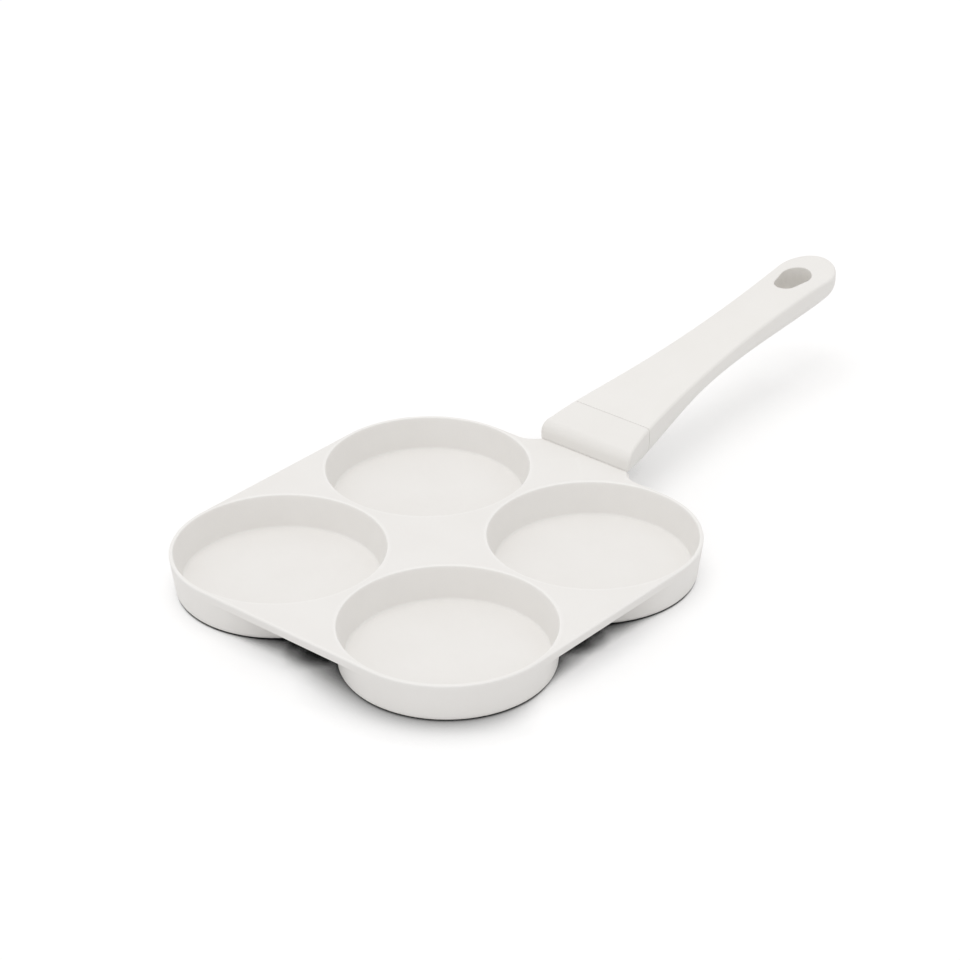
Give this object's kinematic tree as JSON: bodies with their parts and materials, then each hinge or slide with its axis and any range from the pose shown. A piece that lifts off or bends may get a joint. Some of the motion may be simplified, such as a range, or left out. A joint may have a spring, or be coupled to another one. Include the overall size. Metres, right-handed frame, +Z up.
{
  "type": "burger pan",
  "caption": "Cast frying pan with round shallow cups sunk in a flat plate, for burgers, eggs or pancakes, and a long moulded handle with a hanging hole, all in a cream coat.",
  "frame": {"origin": "on the ground plane, under the middle of the pan's whole length and width", "axes": "+X from the cups to the handle's tail, +Y across the pan, +Z up out of the cups' mouths"},
  "size_m": [0.3806, 0.1906, 0.0514],
  "materials": {
    "pan_coat": "cream ceramic non-stick coat, satin",
    "collar_coat": "cream coat, satin",
    "grip_moulding": "cream heat-proof moulding, soft satin",
    "fastener_steel": "plain steel"
  },
  "bodies": {
    "root": {"pan_body": "pan_coat", "neck_collar": "collar_coat", "handle_grip": "grip_moulding", "front_screw": "fastener_steel", "front_spring_washer": "fastener_steel", "front_flat_washer": "fastener_steel", "rear_screw": "fastener_steel", "rear_spring_washer": "fastener_steel", "rear_flat_washer": "fastener_steel"}
  },
  "joints": []
}
